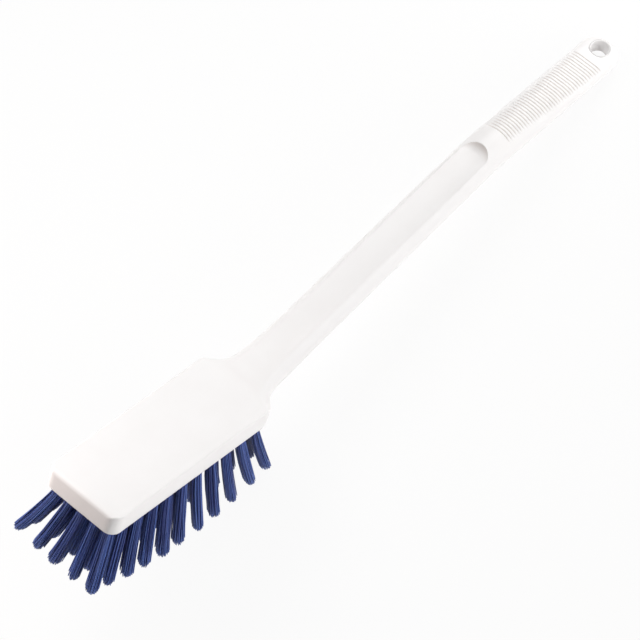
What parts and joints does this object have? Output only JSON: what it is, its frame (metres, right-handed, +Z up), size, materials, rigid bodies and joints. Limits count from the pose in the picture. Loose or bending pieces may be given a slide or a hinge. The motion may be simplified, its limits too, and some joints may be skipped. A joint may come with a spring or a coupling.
{
  "type": "long-handled dish brush",
  "caption": "Long-handled dish brush with a white moulded head, flat-topped shaft, ribbed grip and hanging hole, set with stiff blue bristle tufts.",
  "frame": {"origin": "on the table under the middle of the brush's box, with the brush laid down at rest on its rear tufts and the end of its handle", "axes": "+X along the brush from the head towards the hanging hole, +Y across it, +Z up from the table"},
  "size_m": [0.4396, 0.0655, 0.1049],
  "materials": {
    "white_moulding": "satin warm-white polypropylene moulding",
    "blue_filament": "stiff crimp-free blue polyester filament",
    "anchor_wire": "bright flat stainless wire"
  },
  "bodies": {
    "root": {"handle_moulding": "white_moulding", "tufts_front": "blue_filament", "tufts_mid_front": "blue_filament", "tufts_mid_rear": "blue_filament", "tufts_rear": "blue_filament", "tuft_anchor_row1_01": "anchor_wire", "tuft_anchor_row2_01": "anchor_wire", "tuft_anchor_row3_01": "anchor_wire", "tuft_anchor_row4_01": "anchor_wire", "tuft_anchor_row5_01": "anchor_wire", "tuft_anchor_row1_02": "anchor_wire", "tuft_anchor_row2_02": "anchor_wire", "tuft_anchor_row3_02": "anchor_wire", "tuft_anchor_row4_02": "anchor_wire", "tuft_anchor_row5_02": "anchor_wire", "tuft_anchor_row1_03": "anchor_wire", "tuft_anchor_row2_03": "anchor_wire", "tuft_anchor_row3_03": "anchor_wire", "tuft_anchor_row4_03": "anchor_wire", "tuft_anchor_row5_03": "anchor_wire", "tuft_anchor_row1_04": "anchor_wire", "tuft_anchor_row2_04": "anchor_wire", "tuft_anchor_row3_04": "anchor_wire", "tuft_anchor_row4_04": "anchor_wire", "tuft_anchor_row5_04": "anchor_wire", "tuft_anchor_row1_05": "anchor_wire", "tuft_anchor_row2_05": "anchor_wire", "tuft_anchor_row3_05": "anchor_wire", "tuft_anchor_row4_05": "anchor_wire", "tuft_anchor_row5_05": "anchor_wire", "tuft_anchor_row1_06": "anchor_wire", "tuft_anchor_row2_06": "anchor_wire", "tuft_anchor_row3_06": "anchor_wire", "tuft_anchor_row4_06": "anchor_wire", "tuft_anchor_row5_06": "anchor_wire", "tuft_anchor_row1_07": "anchor_wire", "tuft_anchor_row2_07": "anchor_wire", "tuft_anchor_row3_07": "anchor_wire", "tuft_anchor_row4_07": "anchor_wire", "tuft_anchor_row5_07": "anchor_wire", "tuft_anchor_row1_08": "anchor_wire", "tuft_anchor_row2_08": "anchor_wire", "tuft_anchor_row3_08": "anchor_wire", "tuft_anchor_row4_08": "anchor_wire", "tuft_anchor_row5_08": "anchor_wire", "tuft_anchor_row1_09": "anchor_wire", "tuft_anchor_row2_09": "anchor_wire", "tuft_anchor_row3_09": "anchor_wire", "tuft_anchor_row4_09": "anchor_wire", "tuft_anchor_row5_09": "anchor_wire", "tuft_anchor_row1_10": "anchor_wire", "tuft_anchor_row2_10": "anchor_wire", "tuft_anchor_row3_10": "anchor_wire", "tuft_anchor_row4_10": "anchor_wire", "tuft_anchor_row5_10": "anchor_wire", "tuft_anchor_row1_11": "anchor_wire", "tuft_anchor_row2_11": "anchor_wire", "tuft_anchor_row3_11": "anchor_wire", "tuft_anchor_row4_11": "anchor_wire", "tuft_anchor_row5_11": "anchor_wire"}
  },
  "joints": []
}
